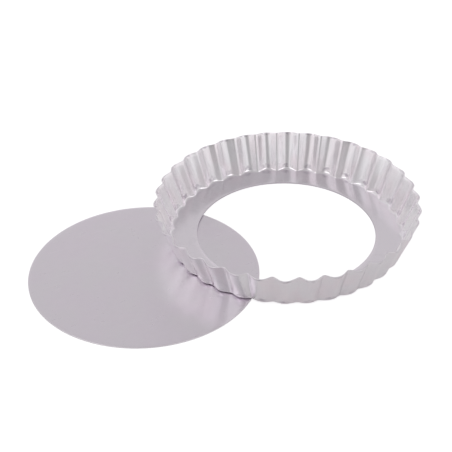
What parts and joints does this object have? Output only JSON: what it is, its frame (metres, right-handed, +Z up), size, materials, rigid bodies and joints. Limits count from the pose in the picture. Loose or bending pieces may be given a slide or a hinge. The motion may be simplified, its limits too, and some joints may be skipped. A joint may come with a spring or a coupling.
{
  "type": "fluted tart pan with a loose base",
  "caption": "Round fluted tart pan taken apart: a flared, scalloped ring with a flat inner ledge leans on its loose flat base plate.",
  "frame": {"origin": "centre of the base plate's underside, on the table", "axes": "+X from the base plate's centre towards the ring's centre, +Z up from the table"},
  "size_m": [0.3295, 0.2188, 0.0351],
  "materials": {
    "ring_aluminium": "satin, as pressed, with fine drawing marks up the flutes",
    "plate_aluminium": "satin, as rolled, with a very faint mottle"
  },
  "bodies": {
    "ring": {"fluted_ring": "ring_aluminium"},
    "base": {"base_plate": "plate_aluminium"}
  },
  "joints": [
    {"name": "base_slide", "type": "slide", "parent": "ring", "child": "base", "axis": [-1, 0, 0], "range_m": [0, 0.1]}
  ]
}
